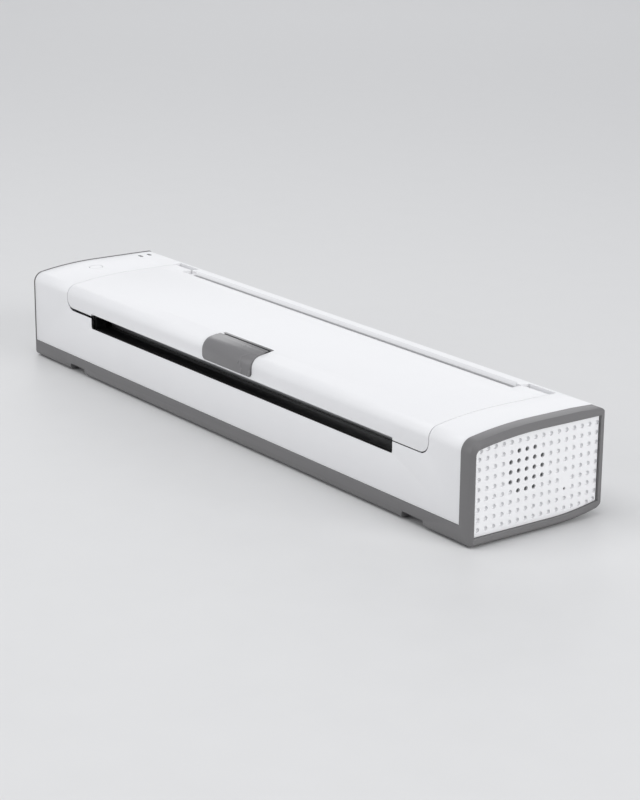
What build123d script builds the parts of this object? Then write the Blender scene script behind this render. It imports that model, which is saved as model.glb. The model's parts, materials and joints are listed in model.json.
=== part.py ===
from build123d import *
import os
from math import cos, radians, sin, sqrt

# A4 portable thermal printer, in millimetres. +X is the printer's right end, the front faces -Y, +Z is up.
# The origin is on the surface it stands on, under the middle. Heights named z are measured from the
# cradle's bottom edge, which the rubber feet hold foot_proud above that surface.

# ---- Overall form ----
length = 310.0  # left end to right end
depth = 63.2  # front face to back face
height = 41.05  # bottom edge to the crown of the end ring
foot_proud = 0.4
crown_front_radius = 165.0  # the top is arched in front and nearly flat behind
crown_rear_radius = 4000.0
crown_y = 0.0  # where the arch is highest
belly_radius = 116.0  # the underside curves up behind belly_y
belly_y = 6.0
corner_front_low = 2.0
corner_front_high = 5.0
corner_back_high = 1.6
corner_back_low = 3.0
skin = 0.3  # the white housing lies this far inside the grey ring
wall = 2.0
seam = 0.4  # gap round the lid
fit = 0.1  # clearance between seated pieces
seat = 0.02  # clearance of glued and pressed pieces
bearing = 0.05  # radial running clearance of a shaft
hidden_sides = 6  # bosses, screws and their holes inside are six-sided

# ---- Cradle ----
strip_height = 6.9
ring_width = 6.5
rim_width = 0.8  # the left ring shows only this much
rim_edge = 1.3
rim_edge_left = 0.4
panel_recess = 1.0
panel_thickness = 2.0
band_front = 1.6  # grey border round the right panel
band_back = 2.8
band_top = 2.7
band_bottom = 3.3
band_left = 3.6  # border round the left panel, on all sides
ledge = 1.5
tongue = 1.2
tongue_height = 2.6
notch_offset = 119.6  # front notches, from the lid's centre
notch_width = 14.0
notch_height = 2.9
notch_depth = 4.0
foot_radius = 4.0
foot_x = 128.0
foot_front_y = -22.0
foot_back_y = 15.0
foot_recess = 1.0
foot_sides = 16

# ---- Lid opening, paper slot and seams ----
lid_shift = 3.0  # the lid and the paper path are centred right of the middle
lid_half = 127.7
lid_low = 27.6
lid_corner = 5.0
slot_lip = 1.5  # the opening's top edge is this much higher over the slot
slot_half = 107.0
slot_low = 22.95
slot_corner = 1.0
edge_lip = 0.6  # thickness left of the front wall round the slot and under the lid
edge_tip = 0.3  # and at its very edge
edge_taper = 0.5
strip_front_y = 25.2  # front edge of the fixed strip behind the paper inlet
strip_edge = 1.3  # width of its sloped edge and of the flange below
strip_foot_z = 37.8
lid_rear_y = 20.2
arm_inner = 113.0  # hinge arms of the lid, from the lid's centre
arm_rear_y = 29.0
landing = 1.4  # ledge that the lid's side edges close over

# ---- Lid hinge ----
hinge_y = 24.5
hinge_z = 36.2
pin_radius = 1.5
boss_radius = 3.4
inner_boss = 109.5
outer_boss = 133.0

# ---- Platen roller and gear train ----
platen_y = -15.0
platen_z = 31.8
shaft_radius = 2.5
rubber_radius = 5.5
rubber_half = 107.0
bush_radius = 4.5
bush_sides = 16
gear_module = 0.5
platen_teeth = 20
small_teeth = 16
big_teeth = 40
pinion_teeth = 12
tooth_half = 0.33  # half a tooth at the pitch circle
tooth_slope = 0.364
mesh_slack = 0.05  # added to each centre distance
train_angle = 15.0  # compound gear, from straight below the platen
motor_angle = -30.1  # motor, from straight behind the compound gear
gear_width = 3.0
gear_x = 114.5
gear_step = 0.7
stud_radius = 1.5
motor_shaft_radius = 1.0
motor_radius = 12.5
motor_sides = 24
motor_length = 18.0
motor_ear = 15.5
ear_thickness = 0.8
motor_plate_x = 122.0
plate_thickness = 1.5

# ---- Chassis and lid frame ----
cheek_inner = 108.0
cheek_outer = 110.5
cheek_radius = 6.5
side_inner = 111.0
steel = 1.2
deck_z = 9.0
deck_front = -23.0
deck_back = 7.5
side_top = 34.0
notch_clearance = 0.1
notch_flare = 1.2
guide_thickness = 1.6
web_pitch = 48.0
leg_pitch = 40.0

# ---- Print head ----
pivot_y = 4.5
pivot_z = 22.0
pivot_radius = 1.5
lug_radius = 3.0
head_half = 107.0
head_front = -21.0
head_back = 1.0
head_low = 21.0
head_high = 25.0
fin_depth = 1.6
ceramic_front = -20.0
ceramic_back = -10.0
nip_gap = 0.3  # between the roller and the ceramic strip
spring_x = 62.0
spring_y = -14.0
spring_radius = 2.4
spring_wire = 0.35
spring_turns = 2

# ---- Latch ----
tab_left = -14.0
tab_right = 20.2
tab_proud = 0.4
tab_low = 30.3
tab_thickness = 1.8
tab_corner = 2.0
tab_rear_y = -24.7
latch_travel = 1.1
tab_gap = 0.2
bezel_rear_y = -22.2
bar_low = 31.5
bar_high = 34.5
bar_front = -28.8
bar_back = -26.4
bar_half = 119.0
hook_inner = 115.0
hook_low = 24.0
nose_height = 1.2
nose_reach = 1.1
catch_gap = 0.6  # the hooks stand this far short of the catches
catch_height = 1.0
leaf_half = 16.0  # half the latch spring's length

# ---- Power key and indicators ----
key_x = -140.7
key_y = -6.8
key_radius = 2.9
key_gap = 0.25
key_travel = 0.4
key_board_z = 31.0
board_thickness = 1.6
switch_height = 3.2
plunger_height = 0.6
lamp_places = [(-147.7, 21.4), (-148.0, 26.3)]
lamp_length = 3.3
lamp_width = 1.5
lamp_corner = 0.45

# ---- Panel pattern ----
dot_pitch = 3.7
dot_columns = 16
dot_rows = 9
first_dot_y = -27.8
first_dot_z = 35.5
dimple_radius = 0.9
dimple_depth = 0.5
dimple_sides = 4
peg_radius = 2.0
sound_radius = 0.85
sound_sides = 6
pinhole_radius = 0.45
reset_dot = (11, 6)  # column and row of the reset pinhole
sound_centre = (6, 3)
sound_radius_dots = 2.3  # the sound holes fill a round patch of the grid

# ---- Boards and battery ----
main_low = 4.5
main_left = -148.0
main_right = -20.0
main_front = -27.0
main_back = 6.0
socket_y = -8.0
socket_width = 9.0
socket_height = 3.3
socket_corner = 1.0
socket_length = 7.4
socket_recess = 0.6
cell_radius = 9.2
cell_length = 65.0
battery_x = -5.0
battery_y = 17.5
battery_z = 12.4
cell_sides = 16
side_board_x = 145.6
chips = [  # x, y, length, width and height of the parts on the main board
    (-70.0, -14.0, 10.0, 10.0, 1.2),
    (-52.0, -14.0, 8.0, 6.0, 1.0),
    (-40.0, -4.0, 6.0, 6.0, 1.0),
    (-118.0, -12.0, 7.0, 7.0, 2.2),
    (-35.0, -17.0, 14.0, 4.5, 2.0),
]

# ---- Screws ----
screw_radius = 1.1
screw_head_radius = 2.2
screw_head = 1.4
case_screw_length = 12.0
deck_screw_length = 6.0
board_screw_length = 4.0
case_joint_z = 9.0  # between the cradle's bosses and the housing's
case_boss_radius = 3.0
chassis_boss_radius = 3.4
board_boss_radius = 2.6

# ---- Worked-out places ----
right_bands = (band_front, band_back, band_top, band_bottom)
left_bands = (band_left, band_left, band_left, band_left)
end_x = length / 2
arm_root_y = lid_rear_y - 3.0
landing_back_y = arm_root_y - seam
front_y = -depth / 2
back_y = depth / 2
ring_x = end_x - ring_width
housing_left = -end_x + rim_width + fit
housing_right = ring_x - fit
inner_front = front_y + skin + wall
inner_back = back_y - skin - wall
shoulder = skin + wall + fit
panel_inner_x = end_x - panel_recess - panel_thickness
key_board_x = (-panel_inner_x + 0.6, -137.0)
nip_z = platen_z - rubber_radius
train_distance = gear_module * (platen_teeth + small_teeth) / 2 + mesh_slack
motor_distance = gear_module * (big_teeth + pinion_teeth) / 2 + mesh_slack
gear_y = platen_y + train_distance * sin(radians(train_angle))
gear_z = platen_z - train_distance * cos(radians(train_angle))
motor_y = gear_y + motor_distance * cos(radians(motor_angle))
motor_z = gear_z + motor_distance * sin(radians(motor_angle))
side_outer = side_inner + steel
big_gear_x = gear_x + gear_width + gear_step
motor_face_x = motor_plate_x + plate_thickness
deck_top = deck_z + steel
main_top = main_low + board_thickness
catch_low = hook_low + nose_height + 0.2
hook_tip = inner_front + nose_reach + catch_gap
key_board_top = key_board_z + board_thickness
plunger_top = key_board_top + switch_height + plunger_height
socket_z = main_top + socket_height / 2
beyond = 5.0  # how far a cut runs past what it cuts
all_y = (front_y - beyond, back_y + beyond)
above = height + beyond

# ---- Screw and post places ----
corner_rows = [(-23.0, (-143.0, 140.0)), (21.0, (-133.5, 140.0))]  # y, and the x of each screw
deck_screws = [(lid_shift + side * 96.0, y) for side in (-1, 1) for y in (-18.0, 0.0)]
main_screws = [(-142.0, -17.0), (-142.0, 2.5), (-24.0, -23.5), (-24.0, 2.5)]
key_screws = [(-144.5, 4.0), (-144.5, 17.0)]
lid_screw_y = 3.0
lid_screws_at = [(lid_shift + side * 60.0, lid_screw_y) for side in (-1, 1)]
lid_boss_low = 34.5
lid_head_z = 33.2
plate_posts = [(-20.0, 10.5), (9.5, 26.5), (14.5, 9.5)]
panel_posts = [(-20.0, 12.0), (-20.0, 31.0), (22.0, 12.0), (22.0, 31.0)]


def crown(y, inset=0.0):
    """Height of the arched top at y, drawn inwards by inset."""
    radius = crown_front_radius if y < crown_y else crown_rear_radius
    return height - radius + sqrt((radius - inset) ** 2 - (y - crown_y) ** 2)


def belly(y, inset=0.0):
    """Height of the underside at y, drawn inwards by inset."""
    if y <= belly_y:
        return inset
    return belly_radius - sqrt((belly_radius - inset) ** 2 - (y - belly_y) ** 2)


def side_plane(x):
    """Plane across the printer at x: local x runs along +Y and local y is the height z."""
    return Plane(origin=(x, 0, foot_proud), x_dir=(0, 1, 0), z_dir=(1, 0, 0))


def front_plane(y):
    """Plane along the printer at y: local x runs along +X and local y is the height z."""
    return Plane(origin=(0, y, foot_proud), x_dir=(1, 0, 0), z_dir=(0, -1, 0))


def level(z):
    """Horizontal plane at height z."""
    return Plane.XY.offset(foot_proud + z)


def outline(front, back, top, bottom, rounded=True):
    """Cross-section of the printer, inset by four amounts, with rounded corners unless they don't show."""
    low_front = (front_y + front, bottom)
    high_front = (front_y + front, crown(front_y + front, top))
    high_back = (back_y - back, crown(back_y - back, top))
    low_back = (back_y - back, belly(back_y - back, bottom))
    apex = (crown_y, crown(crown_y, top))
    front_half_y = (front_y + crown_y) / 2
    back_half_y = (crown_y + back_y) / 2
    with BuildSketch() as shape:
        with BuildLine():
            Polyline((belly_y, bottom), low_front, high_front)
            ThreePointArc(high_front, (front_half_y, crown(front_half_y, top)), apex)
            ThreePointArc(apex, (back_half_y, crown(back_half_y, top)), high_back)
            Line(high_back, low_back)
            ThreePointArc(low_back, (back_half_y, belly(back_half_y, bottom)), (belly_y, bottom))
        make_face()
        corners = (
            (low_front, corner_front_low - bottom),
            (high_front, corner_front_high - top),
            (high_back, corner_back_high - top),
            (low_back, corner_back_low - bottom),
        )
        for place, radius in corners:
            if rounded and radius > 0.5:
                fillet(shape.vertices().sort_by_distance(place)[0], radius)
    return shape.sketch


def inset_outline(inset):
    """Cross-section drawn inwards evenly all round."""
    return outline(inset, inset, inset, inset, inset < wall)


def thinned_edge(z_edge, z_top):
    """What is cut from behind the front wall up to z_top, where an edge at z_edge tapers to a thin tip."""
    skin_y = front_y + skin
    with BuildSketch() as shape:
        Polygon(
            (skin_y + edge_lip, z_edge - 2 * edge_taper),
            (skin_y + edge_lip, z_edge - edge_taper),
            (skin_y + edge_tip, z_edge),
            (skin_y + edge_tip, z_top),
            (inner_front + 1, z_top),
            (inner_front + 1, z_edge - 2 * edge_taper),
            align=None,
        )
    return shape.sketch


def slot_shape(long, wide, corner):
    """Long opening about the origin with cut corners."""
    with BuildSketch() as shape:
        Rectangle(long, wide)
        chamfer(shape.vertices(), corner)
    return shape.sketch


def ring_opening(bands, inset=0.0):
    """Opening of an end ring, drawn inwards by inset."""
    return outline(*[width + inset for width in bands], rounded=inset < ledge)


def band(outer, inner, y_range, z_range):
    """Part of the cross-section's wall between two insets, cut to a range of y and of height."""
    with BuildSketch() as shape:
        add(inset_outline(outer))
        add(inset_outline(inner), mode=Mode.SUBTRACT)
        with Locations((y_range[0], z_range[0])):
            Rectangle(
                y_range[1] - y_range[0],
                z_range[1] - z_range[0],
                align=(Align.MIN, Align.MIN),
                mode=Mode.INTERSECT,
            )
    return shape.sketch


def lid_window(half_width, z_low, corner):
    """Front view of the lid or of its opening, open at the top."""
    with BuildSketch() as view:
        with Locations((lid_shift, z_low)):
            Rectangle(2 * half_width, height, align=(Align.CENTER, Align.MIN))
        fillet(view.vertices().group_by(Axis.Y)[0], corner)
    return view.sketch


def tab_window(grow):
    """Front view of the latch tab, or of its cut-out, open at the top."""
    with BuildSketch() as view:
        with Locations((tab_left - grow, tab_low - grow)):
            Rectangle(tab_right - tab_left + 2 * grow, height, align=(Align.MIN, Align.MIN))
        fillet(view.vertices().group_by(Axis.Y)[0], tab_corner)
    return view.sketch


def gear_outline(teeth, first_tooth):
    """Spur gear about the origin, with one tooth centred at the angle first_tooth."""
    pitch = gear_module * teeth / 2
    root = pitch - 1.2 * gear_module
    tip = pitch + gear_module
    foot_half = tooth_half + tooth_slope * (pitch - root)
    tip_half = tooth_half - tooth_slope * (tip - pitch)
    tooth = ((root, -foot_half), (tip, -tip_half), (tip, tip_half), (root, foot_half))
    points = []
    for index in range(teeth):
        turn = radians(first_tooth + index * 360 / teeth)
        for out, across in tooth:
            points.append((out * cos(turn) - across * sin(turn), out * sin(turn) + across * cos(turn)))
    with BuildSketch() as gear:
        Polygon(*points, align=None)
    return gear.sketch


def disc(radius, sides):
    """Circle, or the many-sided shape that stands for it inside the printer."""
    if sides:
        RegularPolygon(radius, sides)
    else:
        Circle(radius)


def at_lid(side, offset):
    """x of a place at an offset from the lid's centre, on the left (-1) or the right (1)."""
    return lid_shift + side * offset


def span(face, x_from, x_to, mode=Mode.ADD):
    """Extrude a cross-section from one x to another."""
    with BuildSketch(side_plane(x_from)) as placed:
        add(face)
    extrude(placed.sketch, amount=x_to - x_from, mode=mode)


def ribs(face, starts, thickness, mode=Mode.ADD):
    """Extrude a cross-section at several x at once."""
    with BuildSketch(*[side_plane(x) for x in starts]) as placed:
        add(face)
    extrude(placed.sketch, amount=thickness, mode=mode)


def both_ends(face, near, far, mode=Mode.ADD):
    """Extrude a cross-section between two offsets from the lid's centre, at both ends."""
    ribs(face, (at_lid(-1, far), at_lid(1, near)), far - near, mode)


def run_back(view, y_from, y_to, mode=Mode.ADD):
    """Extrude a front view from one y back to another."""
    with BuildSketch(front_plane(y_from)) as placed:
        add(view)
    extrude(placed.sketch, amount=y_from - y_to, mode=mode)


def block(x, y, z, mode=Mode.ADD):
    """Box between the two ends of each range."""
    centre = ((x[0] + x[1]) / 2, (y[0] + y[1]) / 2, (z[0] + z[1]) / 2 + foot_proud)
    with Locations(centre):
        Box(x[1] - x[0], y[1] - y[0], z[1] - z[0], mode=mode)


def blocks(centres_x, width, y, z, mode=Mode.ADD):
    """Boxes of one width at several x."""
    middle = ((y[0] + y[1]) / 2, (z[0] + z[1]) / 2 + foot_proud)
    with Locations(*[(x, *middle) for x in centres_x]):
        Box(width, y[1] - y[0], z[1] - z[0], mode=mode)


def pair(near, far, y, z, mode=Mode.ADD):
    """Boxes between two offsets from the lid's centre, at both ends."""
    middle = (near + far) / 2
    blocks((at_lid(-1, middle), at_lid(1, middle)), far - near, y, z, mode)


def rod(x_from, x_to, y, z, radius, mode=Mode.ADD, sides=0):
    """Rod or bore along X."""
    rods(x_from, x_to, [(y, z)], radius, mode, sides)


def rods(x_from, x_to, places, radius, mode=Mode.ADD, sides=0):
    """Rods or bores along X, each at one (y, z)."""
    with BuildSketch(side_plane(x_from)) as placed:
        with Locations(*places):
            disc(radius, sides)
    extrude(placed.sketch, amount=x_to - x_from, mode=mode)


def end_rods(near, far, y, z, radius, mode=Mode.ADD):
    """Rods or bores along X between two offsets from the lid's centre, at both ends."""
    with BuildSketch(side_plane(at_lid(-1, far)), side_plane(at_lid(1, near))) as placed:
        with Locations((y, z)):
            Circle(radius)
    extrude(placed.sketch, amount=far - near, mode=mode)


def posts(places, z_from, z_to, radius, mode=Mode.ADD, sides=hidden_sides):
    """Upright posts or holes, each at one (x, y)."""
    with BuildSketch(level(z_from)) as placed:
        with Locations(*places):
            disc(radius, sides)
    extrude(placed.sketch, amount=z_to - z_from, mode=mode)


def screws(places, z_seat, shank, way):
    """Pan-head screws seated at z_seat, their shanks running down (way -1) or up (way 1)."""
    posts(places, z_seat, z_seat - way * screw_head, screw_head_radius)
    posts(places, z_seat, z_seat + way * shank, screw_radius)


def row_places(row):
    """Places of a row of screws that share one y."""
    y, row_x = row
    return [(x, y) for x in row_x]


def case_head_z(y):
    """Height of the head's seat of a case screw at y."""
    return belly(y) + 2.4


# ---- Cradle: tray with the grey strip, and a ring at each end ----
with BuildPart() as base_cradle:
    span(inset_outline(0), -end_x, end_x)
    chamfer(base_cradle.faces().sort_by(Axis.X)[-1].edges(), rim_edge)
    chamfer(base_cradle.faces().sort_by(Axis.X)[0].edges(), rim_edge_left)
    block((-end_x + rim_width, ring_x), all_y, (strip_height, above), Mode.SUBTRACT)
    span(inset_outline(shoulder), -end_x + rim_width, -ring_x)
    span(inset_outline(wall), -ring_x, ring_x, Mode.SUBTRACT)
    # Tongue that centres the housing's lower edge.
    tongue_root = (strip_height - 2 * tongue, strip_height - tongue)
    tongue_reach = (strip_height - 2 * tongue, strip_height + tongue_height)
    with BuildSketch() as tongue_section:
        add(band(wall - fit, shoulder + tongue, all_y, tongue_root))
        add(band(shoulder, shoulder + tongue, all_y, tongue_reach))
    span(tongue_section.sketch, -ring_x, ring_x)
    # Openings of the two rings, with a ledge behind each panel.
    for way, bands in ((-1, left_bands), (1, right_bands)):
        span(ring_opening(bands, ledge), way * (ring_x - beyond), way * panel_inner_x, Mode.SUBTRACT)
        span(ring_opening(bands), way * panel_inner_x, way * (end_x + beyond), Mode.SUBTRACT)
    # Bosses for the case screws, the chassis and the main board.
    for row in corner_rows:
        posts(row_places(row), belly(row[0]) + wall / 2, case_joint_z, case_boss_radius)
    posts(deck_screws, wall / 2, deck_z, chassis_boss_radius)
    posts(main_screws, wall / 2, main_low, board_boss_radius)
    # Ribs that hold the battery.
    rib_x = [battery_x + offset for offset in (-cell_length + 4, -6, 6, cell_length - 4)]
    blocks(rib_x, 1.6, (deck_back + seam, inner_back - 1), (wall, battery_z - wall))
    battery_room = cell_radius + fit
    battery_span = (battery_x - cell_length - 2, battery_x + cell_length + 2)
    rod(*battery_span, battery_y, battery_z, battery_room, Mode.SUBTRACT, cell_sides)
    # Closed pockets behind the two notches of the front edge.
    pocket_half = notch_width / 2 + wall
    pocket_y = (front_y + wall / 2, front_y + notch_depth + tongue)
    pair(notch_offset - pocket_half, notch_offset + pocket_half, pocket_y, (wall / 2, notch_height + tongue))
    with BuildSketch() as notch_view:
        with Locations(*[(at_lid(side, notch_offset), -1) for side in (-1, 1)]):
            Trapezoid(notch_width, notch_height + 1, 75, align=(Align.CENTER, Align.MIN))
    run_back(notch_view.sketch, front_y - beyond, front_y + notch_depth, Mode.SUBTRACT)
    # Screw holes and foot recesses.
    for row in corner_rows:
        posts(row_places(row), -beyond, case_head_z(row[0]), screw_head_radius + 3 * fit, Mode.SUBTRACT)
        posts(row_places(row), -beyond, case_joint_z + 1, screw_radius + fit, Mode.SUBTRACT)
    posts(deck_screws, deck_z - deck_screw_length, deck_z + 1, screw_radius + seat, Mode.SUBTRACT)
    posts(main_screws, main_top - board_screw_length - fit, main_low + 1, screw_radius + seat, Mode.SUBTRACT)
    for y in (foot_front_y, foot_back_y):
        feet = [(-foot_x, y), (foot_x, y)]
        posts(feet, -beyond, belly(y) + foot_recess, foot_radius + fit, Mode.SUBTRACT, foot_sides)
    # Room for the indicators' board in the left ring's shoulder.
    board_room_y = (key_screws[1][1], inner_back)
    block((-panel_inner_x, -ring_x + 1), board_room_y, (key_board_z - 1, above), Mode.SUBTRACT)
base_cradle.part.label = "base_cradle"


# ---- Housing: white shell over the cradle ----
with BuildPart() as upper_housing:
    span(inset_outline(skin), housing_left, housing_right)
    span(inset_outline(skin + wall), housing_left - beyond, housing_right + beyond, Mode.SUBTRACT)
    block((-end_x, end_x), all_y, (-beyond, strip_height + fit), Mode.SUBTRACT)
    # Opening for the lid, the pockets of its hinge arms, and the paper slot.
    run_back(lid_window(lid_half, lid_low, lid_corner), front_y - beyond, strip_front_y, Mode.SUBTRACT)
    pair(arm_inner - seam, lid_half, (strip_front_y - 1, arm_rear_y), (hinge_z, above), Mode.SUBTRACT)
    with BuildSketch() as slot_view:
        with Locations((lid_shift, slot_low)):
            Rectangle(2 * slot_half, lid_low, align=(Align.CENTER, Align.MIN))
        fillet(slot_view.vertices().group_by(Axis.Y)[0], slot_corner)
    run_back(slot_view.sketch, front_y - beyond, inner_front + 1, Mode.SUBTRACT)
    # The front wall thins towards the slot and the lid's front edge.
    span(thinned_edge(lid_low, lid_low + wall), at_lid(-1, lid_half - 2), at_lid(1, lid_half - 2), Mode.SUBTRACT)
    slot_room = (at_lid(-1, slot_half + 5), at_lid(1, slot_half + 5))
    span(thinned_edge(slot_low, lid_low), *slot_room, Mode.SUBTRACT)
    # Ledge that the lid's side edges close over.
    ledge_range = (front_y, landing_back_y)
    ledge_z = (lid_low - wall, above)
    ledge_root = band(skin + wall, skin + 2 * wall, ledge_range, ledge_z)
    both_ends(ledge_root, lid_half, lid_half + 2 * seam + wall)
    ledge_tip = band(skin + wall + seam, skin + 2 * wall, ledge_range, ledge_z)
    both_ends(ledge_tip, lid_half - landing, lid_half + seam)
    # Catches for the latch's hooks.
    catch_y = (inner_front - fit, inner_front + nose_reach)
    pair(hook_inner - 0.5, bar_half + 0.5, catch_y, (catch_low, catch_low + catch_height))
    # The strip behind the paper inlet: a flange down to the guide, and a sloped front edge.
    strip_x = (at_lid(-1, inner_boss), at_lid(1, inner_boss))
    strip_z = crown(strip_front_y, skin)
    block(strip_x, (strip_front_y, strip_front_y + strip_edge), (strip_foot_z, strip_z - 1), Mode.ADD)
    with BuildSketch() as strip_slope:
        Polygon(
            (strip_front_y - 1, strip_z - strip_edge - 1),
            (strip_front_y + strip_edge + 1, strip_z + 1),
            (strip_front_y - 1, strip_z + 1),
            align=None,
        )
    span(strip_slope.sketch, *strip_x, Mode.SUBTRACT)
    # Bosses that hold the hinge pins, at both sides of the lid's arms.
    with BuildSketch() as boss:
        with Locations((hinge_y, hinge_z)):
            RegularPolygon(boss_radius, hidden_sides)
            Rectangle(inner_back - hinge_y + 1, 2 * boss_radius - 1, align=(Align.MIN, Align.CENTER))
        add(inset_outline(skin + fit), mode=Mode.INTERSECT)
    both_ends(boss.sketch, inner_boss, arm_inner - 0.6)
    both_ends(boss.sketch, lid_half + 0.2, outer_boss)
    end_rods(inner_boss - 1, outer_boss + 1, hinge_y, hinge_z, pin_radius + seat, Mode.SUBTRACT)
    # Bosses for the case screws and the key board, holes for the key and the indicators.
    for row in corner_rows:
        posts(row_places(row), case_joint_z + fit, crown(row[0], skin + 1), case_boss_radius)
        bore_top = case_head_z(row[0]) + case_screw_length + 1
        posts(row_places(row), case_joint_z, bore_top, screw_radius + seat, Mode.SUBTRACT)
    posts(key_screws, key_board_top, crown(key_screws[1][1], skin + 1), board_boss_radius)
    key_bore_top = key_board_z + board_screw_length + fit
    posts(key_screws, key_board_z, key_bore_top, screw_radius + seat, Mode.SUBTRACT)
    posts([(key_x, key_y)], plunger_top, above, key_radius + key_gap, Mode.SUBTRACT, 0)
    with BuildSketch(level(key_board_top)) as lamp_holes:
        with Locations(*lamp_places):
            add(slot_shape(lamp_length + 2 * fit, lamp_width + 2 * fit, lamp_corner))
    extrude(lamp_holes.sketch, amount=height, mode=Mode.SUBTRACT)
upper_housing.part.label = "upper_housing"


# ---- End panels: plates seated in the rings, the right one dimpled ----
def panel_dots():
    """Places of the grid's dots that lie wholly on the panel, with their column and row."""
    margin = dimple_radius + 2 * fit
    dots = []
    for column in range(dot_columns):
        for row in range(dot_rows):
            y = first_dot_y + column * dot_pitch
            z = first_dot_z - row * dot_pitch
            inside_y = front_y + band_front + margin < y < back_y - band_back - margin
            inside_z = belly(y, band_bottom) + margin < z < crown(y, band_top) - margin
            if inside_y and inside_z:
                dots.append((y, z, column, row))
    return dots


def is_sound_hole(column, row):
    """Whether a dot lies in the round patch of sound holes."""
    return (column - sound_centre[0]) ** 2 + (row - sound_centre[1]) ** 2 < sound_radius_dots**2 + 0.1


def is_dimple(column, row):
    """Whether a dot is a plain dimple: the sound holes and the reset pinhole replace some."""
    near_reset = column == reset_dot[0] and abs(row - reset_dot[1] + 0.5) < 1
    return not is_sound_hole(column, row) and not near_reset


reset_y = first_dot_y + reset_dot[0] * dot_pitch
reset_z = first_dot_z - reset_dot[1] * dot_pitch
panel_face_x = end_x - panel_recess
with BuildPart() as end_panel_right:
    span(ring_opening(right_bands, fit), panel_inner_x, panel_face_x)
    # Pegs that the side board is staked on.
    rods(side_board_x, panel_inner_x, panel_posts, peg_radius, sides=hidden_sides)
    holes = [(y, z) for y, z, column, row in panel_dots() if is_sound_hole(column, row)]
    rods(panel_inner_x - 1, panel_face_x + 1, holes, sound_radius, Mode.SUBTRACT, sound_sides)
    rod(panel_inner_x - 1, panel_face_x + 1, reset_y, reset_z, pinhole_radius, Mode.SUBTRACT, hidden_sides)
    dimples = [(y, z) for y, z, column, row in panel_dots() if is_dimple(column, row)]
    rods(panel_face_x - dimple_depth, panel_face_x + 1, dimples, dimple_radius, Mode.SUBTRACT, dimple_sides)
end_panel_right.part.label = "end_panel_right"

with BuildPart() as end_panel_left:
    span(ring_opening(left_bands, fit), -panel_face_x, -panel_inner_x)
    with BuildSketch(side_plane(-end_x)) as socket_hole:
        with Locations((socket_y, socket_z)):
            add(slot_shape(socket_width + 4 * fit, socket_height + 4 * fit, socket_corner))
    extrude(socket_hole.sketch, amount=panel_recess + panel_thickness + 1, mode=Mode.SUBTRACT)
end_panel_left.part.label = "end_panel_left"


# ---- Lid: white shell with a window for the latch tab and two hinge arms ----
knuckle_radius = crown(hinge_y, skin) - hinge_z - bearing
with BuildPart() as top_cover:
    span(inset_outline(skin), at_lid(-1, lid_half), at_lid(1, lid_half))
    span(inset_outline(skin + wall), at_lid(-1, lid_half + 1), at_lid(1, lid_half + 1), Mode.SUBTRACT)
    lid_view = lid_window(lid_half - seam, lid_low + seam + fit, lid_corner - seam)
    run_back(lid_view, front_y, lid_rear_y, Mode.INTERSECT)
    # The edge is a little higher over the slot.
    lip_x = (at_lid(-1, slot_half), at_lid(1, slot_half))
    block(lip_x, (front_y, inner_front + 1), (0, lid_low + slot_lip), Mode.SUBTRACT)
    # Stiffening rib along each side edge.
    rib_y = (inner_front, landing_back_y)
    rib_section = band(skin + wall - fit, skin + 2.5 * wall, rib_y, (lid_low + wall, above))
    rib_offset = lid_half - landing - seam
    both_ends(rib_section, rib_offset - 1.4, rib_offset)
    # Hinge arms: a knuckle about the pin, faired into the lid.
    with BuildSketch() as arm:
        with Locations((hinge_y, hinge_z)):
            Circle(knuckle_radius)
        Polygon(
            (arm_root_y, crown(arm_root_y, skin + wall) - 0.5),
            (hinge_y - knuckle_radius * 0.8, hinge_z - knuckle_radius * 0.6),
            (hinge_y, hinge_z + knuckle_radius),
            (arm_root_y, crown(arm_root_y)),
            align=None,
        )
        add(inset_outline(skin), mode=Mode.INTERSECT)
    both_ends(arm.sketch, arm_inner, lid_half - seam)
    end_rods(arm_inner - 1, lid_half, hinge_y, hinge_z, pin_radius + bearing, Mode.SUBTRACT)
    # Shelves that carry the latch bar.
    shelf_x = [lid_shift + offset for offset in (-70.0, 70.0)]
    shelf_y = (inner_front - fit, bar_back + latch_travel + 0.5)
    blocks(shelf_x, 3.0, shelf_y, (lid_low + wall + seam, bar_low - fit))
    run_back(tab_window(tab_gap), front_y - beyond, bezel_rear_y + fit, Mode.SUBTRACT)
    # Screw bosses for the inner frame.
    posts(lid_screws_at, lid_boss_low, crown(lid_screw_y, skin + 1), board_boss_radius)
    posts(lid_screws_at, lid_boss_low - 1, lid_boss_low + 3.5, screw_radius + seat, Mode.SUBTRACT)
top_cover.part.label = "top_cover"

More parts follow.
